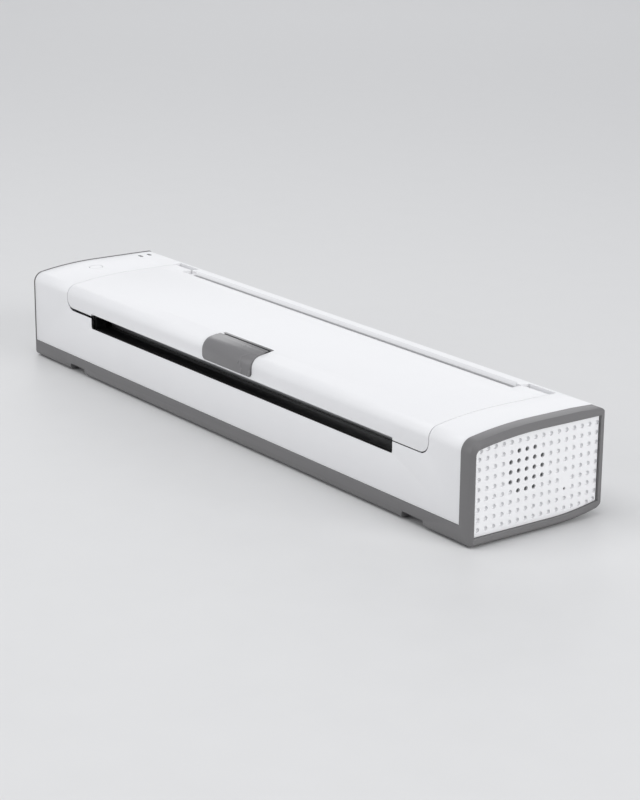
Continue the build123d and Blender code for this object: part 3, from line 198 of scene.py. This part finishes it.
def dress(node, width, segments=3, smooth=32.0, hidden=False, before=None, after=None):
    """Rounded copy of a CAD shell: its visible sharp edges get the small radius that a mould leaves."""
    work = bmesh.new()
    work.from_mesh(nodes[node].data)
    bmesh.ops.remove_doubles(work, verts=work.verts, dist=1e-6)
    bmesh.ops.dissolve_limit(work, angle_limit=math.radians(0.4), verts=work.verts, edges=work.edges)
    if before:
        before(work)
    work.normal_update()
    chosen = []
    for edge in work.edges:
        sharp = len(edge.link_faces) == 2 and edge.calc_face_angle(0) > math.radians(30)
        if sharp and (hidden or seen(edge)):
            chosen.append(edge)
    bmesh.ops.bevel(
        work, geom=chosen, offset=width * MM, offset_type="OFFSET", segments=segments, profile=0.5,
        affect="EDGES", clamp_overlap=True, miter_outer="ARC", harden_normals=False,
    )
    if after:
        after(work)
    name = node + "_dressed"
    return finish_piece(mesh_of(work, name), name, node, body_of[node], smooth)


def mesh_of(work, name):
    """Mesh data of a piece that has been built up."""
    data = bpy.data.meshes.new(name)
    work.to_mesh(data)
    work.free()
    return data


def closed_piece(work, name, node, body, smooth=32.0, slot=None):
    """Piece of a closed form, its faces turned outwards."""
    bmesh.ops.recalc_face_normals(work, faces=work.faces)
    return finish_piece(mesh_of(work, name), name, node, body, smooth, slot)


def finish_piece(data, name, node, body, smooth=32.0, slot=None):
    """Make the object of a mesh, shade it, and let it stand for its CAD node."""
    made = bpy.data.objects.new(name, data)
    bpy.context.scene.collection.objects.link(made)
    for polygon in data.polygons:
        polygon.use_smooth = True
    data.set_sharp_from_angle(angle=math.radians(smooth))
    slot = slot or node_slot[node]
    data.materials.clear()
    data.materials.append(materials[slot])
    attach(made, body)
    if node:
        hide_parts(node)
    return made


def rounder_corner(work):
    """The rear top corner of the right ring, drawn in to a fuller radius."""
    low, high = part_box("base_cradle")
    centre_y, centre_z = high.y - CORNER_RADIUS, high.z - CORNER_RADIUS
    for vertex in work.verts:
        y, z = vertex.co.y - centre_y, vertex.co.z - centre_z
        reach = math.hypot(y, z)
        if vertex.co.x > high.x - RING_DEPTH and y > 0 and z > 0 and reach > CORNER_RADIUS:
            vertex.co.y = centre_y + y * CORNER_RADIUS / reach
            vertex.co.z = centre_z + z * CORNER_RADIUS / reach


def lifted_edge(work):
    """The lid's front edge, which stands a little higher towards its left end."""
    low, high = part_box("top_cover")
    middle, half = (low.x + high.x) / 2, (high.x - low.x) / 2
    for vertex in work.verts:
        left = min(1.0, max(0.0, (middle - vertex.co.x) / half))
        under = min(1.0, max(0.0, (LIFT_TOP - vertex.co.z) / (LIFT_TOP - low.z)))
        if vertex.co.y < LIFT_BACK:
            vertex.co.z += LIFT * left * under


def skin(y):
    """Height of the lid's outside beside the latch."""
    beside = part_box("latch_tab")[1].x + 6 * MM
    return TREE.ray_cast(Vector((beside, y, 0.1)), Vector((0, 0, -1)))[0].z


def lip(work, x_range, y_range, low, high, edge):
    """Strip along X that follows the lid's outside between two heights over it, with softened edges."""
    steps = [y_range[0] + (y_range[1] - y_range[0]) * i / 8 for i in range(9)]
    outline = [(y, skin(y) + high * MM) for y in steps] + [(y, skin(y) + low * MM) for y in reversed(steps)]
    ends = [[work.verts.new((x, y, z)) for y, z in outline] for x in x_range]
    faces = [work.faces.new(ends[0]), work.faces.new(ends[1])]
    for i in range(len(outline)):
        j = (i + 1) % len(outline)
        faces.append(work.faces.new((ends[0][i], ends[0][j], ends[1][j], ends[1][i])))
    bmesh.ops.recalc_face_normals(work, faces=faces)
    edges = {e for f in faces for e in f.edges if e.calc_face_angle(0) > math.radians(30)}
    bmesh.ops.bevel(
        work, geom=list(edges), offset=edge * MM, offset_type="OFFSET", segments=2, profile=0.5,
        affect="EDGES",
    )


CORNER_RADIUS, RING_DEPTH, KEY_FLANGE = 3.6 * MM, 7.0 * MM, 1.0 * MM
LIFT, LIFT_TOP, LIFT_BACK = 0.8 * MM, 33.0 * MM, -26.0 * MM
# Behind the push tab lies a black strip of painted shade standing in for the shadowed gap; the fixed trim's
# lip starts where that strip ends.
TAB_LIP_END, SHADE_STRIP_END, TRIM_END = -23.0 * MM, -21.45 * MM, -20.4 * MM
tab_low, tab_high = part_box("latch_tab")
tab_x = (tab_low.x, tab_high.x)
shade_strip_x = (tab_low.x + 1.5 * MM, tab_high.x)


def tab_lip(work):
    """The push tab's raised rear strip."""
    lip(work, tab_x, (tab_high.y - 0.5 * MM, TAB_LIP_END), 0.32, 0.6, 0.08)


def trim_lip(work):
    """The fixed strip behind the tab, carried further back."""
    lip(work, tab_x, (SHADE_STRIP_END, TRIM_END), -0.1, 0.2, 0.06)


def latch_shade_strip():
    """Black strip laid in the gap between the push tab and the strip behind it: painted shade standing in
    for the shadow in that gap.
    """
    work = bmesh.new()
    lip(work, shade_strip_x, (TAB_LIP_END - 0.45 * MM, SHADE_STRIP_END), -0.05, 0.1, 0.03)
    # Painted shade: black plastic put where there is only the shadow of the gap behind the tab.
    finish_piece(mesh_of(work, "latch_shade_strip"), "latch_shade_strip", None, "lid", slot="black_plastic")


def key_ring():
    """Thin collar round the power key, flush with the housing."""
    low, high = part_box("power_button")
    centre = ((low.x + high.x) / 2, (low.y + high.y) / 2)
    radius = (high.x - low.x) / 2 - KEY_FLANGE
    top = TREE.ray_cast(Vector((centre[0], low.y - 2 * MM, 0.1)), Vector((0, 0, -1)))[0].z
    work = bmesh.new()
    section = ((0.06, -0.4), (0.06, 0.05), (0.14, 0.08), (0.6, 0.08), (0.7, 0.02), (0.7, -0.4))
    rings = []
    for out, rise in section:
        circle = circle_points(centre, radius + out * MM, 48)
        rings.append([work.verts.new((x, y, top + rise * MM)) for x, y in circle])
    for one, two in zip(rings, rings[1:] + rings[:1]):
        skirt(work, one, two)
    closed_piece(work, "key_ring", None, "printer", slot="black_plastic")


INNER_EDGES = {
    "rubber_feet": 0.4,
    "lid_frame": 0.12,
    "latch_bar": 0.2,
    "head_heatsink": 0.15,
    "head_cover": 0.15,
    "rear_paper_guide": 0.15,
    "front_paper_guide": 0.12,
    "buzzer": 0.3,
}
dress("base_cradle", 0.62, 4, before=rounder_corner)
dress("upper_housing", 0.22)
dress("top_cover", 0.22, before=lifted_edge)
dress("latch_tab", 0.35, after=tab_lip)
dress("latch_trim", 0.2, after=trim_lip)
# Black strip of painted shade in the gap behind the push tab.
latch_shade_strip()
dress("power_button", 0.35)
dress("end_panel_left", 0.25)
for node, width in INNER_EDGES.items():
    dress(node, width, 2, hidden=True)


# ---------------------------------------------------------------- dotted right panel
DOT_PITCH, DOT_COLUMNS, DOT_ROWS = 3.7, 16, 9
FIRST_DOT = (-27.8, 35.9)
DIMPLE = ((0.95, 0.0), (0.90, 0.08), (0.87, 0.45), (0.80, 0.78), (0.62, 0.95), (0.35, 1.0))
DIMPLE_FLOOR = 1.02
SOUND_RADIUS, SOUND_CENTRE, SOUND_PATCH = 0.86, (6, 3), 2.3
HOLE_LAND, HOLE_FLARE = 0.7, 0.5
PINHOLE_RADIUS, RESET_DOT = 0.55, (11, 6)
PANEL_EDGE = ((0.0, -1.0), (0.12, -0.5), (0.5, -0.12), (1.0, 0.0))
PANEL_EDGE_RADIUS, PANEL_THICKNESS = 0.22 * MM, 2.0 * MM
DOT_MARGIN, DOT_NUDGE, DOT_NUDGES = 1.0 * MM, 0.22 * MM, 4


def face_loops(mesh, x):
    """Closed outlines, as (y, z) points, of the flat faces of a mesh that lie at one x."""
    flat = [p for p in mesh.polygons if p.normal.x > 0.99 and abs(p.center.x - x) < 1e-5]
    border = {}
    for polygon in flat:
        for key in polygon.edge_keys:
            border[key] = border.get(key, 0) + 1
    beside = {}
    for (one, two), count in border.items():
        if count == 1:
            beside.setdefault(one, []).append(two)
            beside.setdefault(two, []).append(one)
    loops = []
    while beside:
        start = next(iter(beside))
        loop, last, here = [], None, start
        while here is not None and here in beside:
            loop.append((mesh.vertices[here].co.y, mesh.vertices[here].co.z))
            onward = [n for n in beside.pop(here) if n != last and n in beside]
            last, here = here, onward[0] if onward else None
        loops.append(loop)
    return loops


def counter_clockwise(loop):
    """The loop turned so that it runs counter-clockwise."""
    area = sum(a[0] * b[1] - b[0] * a[1] for a, b in zip(loop, loop[1:] + loop[:1]))
    return loop if area > 0 else loop[::-1]


def drawn_in(loop, inset):
    """A counter-clockwise loop moved inwards."""
    moved = []
    for before, here, after in zip(loop[-1:] + loop[:-1], loop, loop[1:] + loop[:1]):
        one = Vector((here[0] - before[0], here[1] - before[1])).normalized()
        two = Vector((after[0] - here[0], after[1] - here[1])).normalized()
        side = Vector((-(one.y + two.y), one.x + two.x)).normalized()
        reach = inset / max(0.3, side.dot(Vector((-one.y, one.x))))
        moved.append((here[0] + side.x * reach, here[1] + side.y * reach))
    return moved


def circle_points(centre, radius, count=20):
    """Points round a circle."""
    turns = [2 * math.pi * i / count for i in range(count)]
    return [(centre[0] + radius * math.cos(t), centre[1] + radius * math.sin(t)) for t in turns]


def inside(loop, point, margin):
    """Whether a circle of radius margin about the point lies inside the loop."""
    spot = Vector(point)
    for a, b in zip(loop, loop[1:] + loop[:1]):
        one, two = Vector(a), Vector(b)
        along = (two - one).normalized()
        if (spot - one).dot(Vector((-along.y, along.x))) < margin and (two - one).length > 1e-5:
            return False
    return True


def add_ring(work, points, x):
    """New vertices at one x."""
    return [work.verts.new((x, y, z)) for y, z in points]


def skirt(work, one, two):
    """Band of faces between two rings of as many vertices."""
    for i in range(len(one)):
        j = (i + 1) % len(one)
        work.faces.new((one[i], one[j], two[j], two[i]))


def widest(loops):
    """The outline that reaches furthest along Y."""
    return max(loops, key=lambda loop: max(p[0] for p in loop) - min(p[0] for p in loop))


def grid_spot(column, row):
    """Place of one dot of the pattern."""
    return (FIRST_DOT[0] + column * DOT_PITCH) * MM, (FIRST_DOT[1] - row * DOT_PITCH) * MM


def nudged(rim, spot, middle_z):
    """A dot's place, drawn inwards where the dot would break the rim."""
    y, z = spot
    for _ in range(DOT_NUDGES):
        if not inside(rim, (y, z), DOT_MARGIN):
            y -= math.copysign(DOT_NUDGE, y)
            z -= math.copysign(DOT_NUDGE, z - middle_z)
    return y, z


def dot_spots(rim, middle_z):
    """Centre and kind of every dot of the panel."""
    spots = []
    for column in range(DOT_COLUMNS):
        for row in range(DOT_ROWS):
            spot = nudged(rim, grid_spot(column, row), middle_z)
            near_reset = column == RESET_DOT[0] and abs(row - RESET_DOT[1] + 0.5) < 1
            spread = (column - SOUND_CENTRE[0]) ** 2 + (row - SOUND_CENTRE[1]) ** 2
            kind = "sound" if spread < SOUND_PATCH**2 + 0.1 else "dimple"
            if inside(rim, spot, DOT_MARGIN) and not near_reset:
                spots.append((spot, kind))
    spots.append((grid_spot(*RESET_DOT), "pin"))
    return spots


def add_dimple(work, spot, face_x):
    """Pressed dimple: returns its mouth."""
    dish = [add_ring(work, circle_points(spot, r * MM), face_x - d * MM) for r, d in DIMPLE]
    for one, two in zip(dish, dish[1:]):
        skirt(work, one, two)
    lowest = work.verts.new((face_x - DIMPLE_FLOOR * MM, *spot))
    for one, two in zip(dish[-1], dish[-1][1:] + dish[-1][:1]):
        work.faces.new((one, two, lowest))
    return dish[0]


def add_hole(work, spot, radius, face_x, back_x):
    """Hole through the panel, wider behind: returns its mouths at the face and at the back."""
    tube = [
        add_ring(work, circle_points(spot, radius + 0.05 * MM), face_x),
        add_ring(work, circle_points(spot, radius), face_x - 0.06 * MM),
        add_ring(work, circle_points(spot, radius), face_x - HOLE_LAND * MM),
        add_ring(work, circle_points(spot, radius + HOLE_FLARE * MM), back_x),
    ]
    for one, two in zip(tube, tube[1:]):
        skirt(work, one, two)
    return tube[0], tube[-1]


def dotted_panel():
    """The right panel: rounded edge, pressed dimples, sound holes and the reset pinhole."""
    low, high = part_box("end_panel_right")
    source = nodes["end_panel_right"].data
    face_x = max(v.co.x for v in source.vertices)
    back_x = face_x - PANEL_THICKNESS
    rim = counter_clockwise(widest(face_loops(source, face_x)))
    work = bmesh.new()
    rings = []
    for into, out in PANEL_EDGE:
        outline = drawn_in(rim, PANEL_EDGE_RADIUS * into)
        rings.append(add_ring(work, outline, face_x + PANEL_EDGE_RADIUS * out))
    for one, two in zip(rings, rings[1:]):
        skirt(work, one, two)
    back = add_ring(work, rim, back_x)
    skirt(work, back, rings[0])
    openings, through = [], []
    for spot, kind in dot_spots(rim, (low.z + high.z) / 2):
        if kind == "dimple":
            openings.append(add_dimple(work, spot, face_x))
        else:
            radius = (SOUND_RADIUS if kind == "sound" else PINHOLE_RADIUS) * MM
            mouth, behind = add_hole(work, spot, radius, face_x, back_x)
            openings.append(mouth)
            through.append(behind)
    fill_face(work, rings[-1], openings, False)
    fill_face(work, back, through, True)
    add_pegs(work, low.x, back_x)
    return closed_piece(work, "right_panel", "end_panel_right", "printer", 40.0)


def fill_face(work, rim, openings, backward):
    """Fill a flat rim round its openings."""
    loops = [rim] + openings
    flat = [[(v.co.y, v.co.z, 0.0) for v in loop] for loop in loops]
    every = [v for loop in loops for v in loop]
    for triangle in tessellate_polygon(flat):
        corners = [every[i] for i in triangle]
        if backward:
            corners.reverse()
        work.faces.new(corners)


def add_pegs(work, x_from, x_to):
    """Pegs behind the panel that the side board is staked on."""
    for y in (-20.0, 22.0):
        for z in (12.4, 31.4):
            rings = []
            for x, radius in ((x_from, 1.7), (x_from + 0.3 * MM, 2.0), (x_to, 2.0)):
                rings.append(add_ring(work, circle_points((y * MM, z * MM), radius * MM, 24), x))
            for one, two in zip(rings, rings[1:]):
                skirt(work, one, two)
            work.faces.new(rings[0])


dotted_panel()
key_ring()


# ---------------------------------------------------------------- screws and print head details
HEAD_PROFILE = ((1.35, 0.0), (1.75, 0.12), (2.0, 0.4), (2.08, 0.75), (2.08, 1.4), (1.1, 1.4))
RECESS_REACH, RECESS_HALF, RECESS_DEPTH = 1.05, 0.28, 0.8


def islands(mesh):
    """Corner points of each separate solid in a mesh."""
    work = bmesh.new()
    work.from_mesh(mesh)
    bmesh.ops.remove_doubles(work, verts=work.verts, dist=1e-6)
    found, left = [], set(work.verts)
    while left:
        group, edge = [], [left.pop()]
        while edge:
            vertex = edge.pop()
            group.append(vertex.co.copy())
            beside = [e.other_vert(vertex) for e in vertex.link_edges]
            fresh = [v for v in beside if v in left]
            left.difference_update(fresh)
            edge += fresh
        found.append(group)
    work.free()
    return found


def cross_outline():
    """Outline of a cross recess, counter-clockwise."""
    far, near = RECESS_REACH * MM, RECESS_HALF * MM
    quarter = ((far, -near), (far, near), (near, near))
    turned = []
    for c, s in ((1, 0), (0, 1), (-1, 0), (0, -1)):
        turned += [(c * u - s * v, s * u + c * v) for u, v in quarter]
    return turned


def add_screw(work, points, axis):
    """Pan-head screw with a cross recess in the place of one plain CAD screw."""
    others = [i for i in range(3) if i != axis]
    centre = [(min(p[i] for p in points) + max(p[i] for p in points)) / 2 for i in range(3)]
    low, high = min(p[axis] for p in points), max(p[axis] for p in points)

    def reach(end):
        at_end = [p for p in points if abs(p[axis] - end) < 1e-5]
        return max(math.hypot(*(p[i] - centre[i] for i in others)) for p in at_end)

    top, down = (high, -1) if reach(high) > reach(low) else (low, 1)

    def ring(flat, depth):
        made = []
        for u, v in flat:
            place = [0.0, 0.0, 0.0]
            place[axis] = top + down * depth
            place[others[0]], place[others[1]] = centre[others[0]] + u, centre[others[1]] + v
            made.append(work.verts.new(place))
        return made

    profile = HEAD_PROFILE + ((1.1, (high - low) / MM - 0.4), (0.7, (high - low) / MM))
    rings = [ring(circle_points((0, 0), radius * MM, 24), depth * MM) for radius, depth in profile]
    for one, two in zip(rings, rings[1:]):
        skirt(work, one, two)
    work.faces.new(rings[-1])
    cross = cross_outline()
    mouth, floor = ring(cross, 0.0), ring(cross, RECESS_DEPTH * MM)
    skirt(work, mouth, floor)
    work.faces.new(floor)
    every = rings[0] + mouth
    crown = circle_points((0, 0), HEAD_PROFILE[0][0] * MM, 24)
    flat = [[(u, v, 0.0) for u, v in loop] for loop in (crown, cross)]
    for triangle in tessellate_polygon(flat):
        work.faces.new([every[i] for i in triangle])


def screws(node, axis):
    """Every screw of one CAD node."""
    work = bmesh.new()
    for points in islands(nodes[node].data):
        add_screw(work, points, axis)
    return closed_piece(work, node + "_turned", node, body_of[node])


for node in ("case_screws", "chassis_screws", "board_screws", "lid_screws"):
    screws(node, 2)
screws("motor_screws", 0)


def heater_line():
    """The raised line of heating dots on the ceramic, under the platen."""
    low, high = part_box("head_ceramic")
    platen_low, platen_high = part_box("platen_rubber")
    mesh = nodes["head_ceramic"].data
    tree = BVHTree.FromPolygons([v.co for v in mesh.vertices], [list(p.vertices) for p in mesh.polygons])
    middle = (platen_low.y + platen_high.y) / 2
    section = [(-0.35, -0.02), (0.35, -0.02), (0.3, 0.02), (0.15, 0.045), (-0.15, 0.045), (-0.3, 0.02)]
    work = bmesh.new()
    rings = []
    for x in (low.x + 2 * MM, high.x - 2 * MM):
        top = tree.ray_cast(Vector((x, middle, high.z + 0.01)), Vector((0, 0, -1)))[0].z
        rings.append([work.verts.new((x, middle + y * MM, top + z * MM)) for y, z in section])
    skirt(work, *rings)
    for end in rings:
        work.faces.new(end)
    closed_piece(work, "heater_line", None, body_of["head_ceramic"], slot="rubber")


heater_line()


# ---------------------------------------------------------------- springs
SPRING_WIRE, SPRING_TURNS = 0.32 * MM, 3


def head_spring(points, name):
    """One round-wire coil spring under the print head."""
    low = [min(p[i] for p in points) for i in range(3)]
    high = [max(p[i] for p in points) for i in range(3)]
    centre = ((low[0] + high[0]) / 2, (low[1] + high[1]) / 2)
    radius = (high[0] - low[0]) / 2 - SPRING_WIRE * 1.1
    bottom, top = low[2] + SPRING_WIRE, high[2] - SPRING_WIRE
    work = bmesh.new()
    rings, count = [], 26 * SPRING_TURNS
    for i in range(count + 1):
        turn = 2 * math.pi * SPRING_TURNS * i / count
        outward = Vector((math.cos(turn), math.sin(turn), 0))
        core = Vector((*centre, bottom + (top - bottom) * i / count)) + outward * radius
        ring = []
        for k in range(8):
            a = 2 * math.pi * k / 8
            around = outward * math.cos(a) + Vector((0, 0, math.sin(a)))
            ring.append(work.verts.new(core + around * SPRING_WIRE))
        rings.append(ring)
    for one, two in zip(rings, rings[1:]):
        skirt(work, one, two)
    work.faces.new(rings[0])
    work.faces.new(rings[-1])
    made = closed_piece(work, name, None, body_of["head_springs"], 60.0, "steel")
    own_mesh(made)
    return made


for i, points in enumerate(islands(nodes["head_springs"].data)):
    head_spring(points, f"head_spring_{i}")
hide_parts("head_springs")

leaf_data = nodes["latch_spring"].data.copy()
leaf = finish_piece(leaf_data, "latch_leaf", "latch_spring", body_of["latch_spring"])
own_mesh(leaf)


# ---------------------------------------------------------------- floor, light, camera
floor_data = bpy.data.meshes.new("floor")
floor_work = bmesh.new()
for x, y in ((-6, -6), (6, -6), (6, 6), (-6, 6)):
    floor_work.verts.new((x, y, 0))
floor_work.faces.new(floor_work.verts)
floor_work.to_mesh(floor_data)
floor_work.free()
floor = bpy.data.objects.new("floor", floor_data)
bpy.context.scene.collection.objects.link(floor)
floor_surface = grained("floor_paper", (0.66, 0.66, 0.66), 0.5, grain=2.0, depth=0.05, mottle=0.01)
floor_data.materials.append(floor_surface)

world = bpy.context.scene.world or bpy.data.worlds.new("world")
bpy.context.scene.world = world
world.use_nodes = True
world.node_tree.nodes["Background"].inputs["Color"].default_value = (0.93, 0.95, 1.0, 1.0)
world.node_tree.nodes["Background"].inputs["Strength"].default_value = 0.42


def softbox(name, place, aim, size, power, colour=(1.0, 1.0, 1.0)):
    """Large rectangular light at place, pointing at aim."""
    lamp = bpy.data.lights.new(name, "AREA")
    lamp.shape = "RECTANGLE"
    lamp.size, lamp.size_y = size
    lamp.energy = power
    lamp.color = colour
    made = bpy.data.objects.new(name, lamp)
    bpy.context.scene.collection.objects.link(made)
    made.location = place
    made.rotation_euler = (Vector(aim) - Vector(place)).to_track_quat("-Z", "Y").to_euler()
    return made


softbox("top_light", (0.0, -0.35, 1.25), (0, 0, 0.02), (1.5, 0.9), 8.6)
softbox("front_light", (-0.5, -1.4, 0.6), (0, 0, 0.02), (1.2, 0.9), 6.6)
softbox("back_light", (-1.5, 1.15, 0.6), (0, 0, 0.02), (1.6, 0.9), 5.0)
softbox("end_light", (1.45, 0.35, 0.6), (0.1, 0, 0.02), (0.8, 0.8), 12.0)

AZIMUTH, ELEVATION, ROLL = 53.5358, 16.8186, 0.44988
FOCAL_PX, DISTANCE, SHIFT_X, SHIFT_Y = 2092.92, 860.68, -13.908, 9.058
a, e, r = math.radians(AZIMUTH), math.radians(ELEVATION), math.radians(ROLL)
back = Vector((math.sin(a) * math.cos(e), -math.cos(a) * math.cos(e), math.sin(e)))
right = Vector((math.cos(a), math.sin(a), 0.0))
up = back.cross(right)
right, up = math.cos(r) * right + math.sin(r) * up, -math.sin(r) * right + math.cos(r) * up
eye = (Vector((0, 0, 20.4)) - right * SHIFT_X - up * SHIFT_Y + back * DISTANCE) * MM
camera_data = bpy.data.cameras.new("camera")
camera_data.sensor_width = 36.0
camera_data.lens = FOCAL_PX * 36.0 / 800.0
camera_data.clip_start = 0.01
camera = bpy.data.objects.new("camera", camera_data)
bpy.context.scene.collection.objects.link(camera)
camera.matrix_world = Matrix((
    (right.x, up.x, back.x, eye.x),
    (right.y, up.y, back.y, eye.y),
    (right.z, up.z, back.z, eye.z),
    (0, 0, 0, 1),
))
bpy.context.scene.camera = camera
bpy.context.scene.view_settings.view_transform = "Standard"
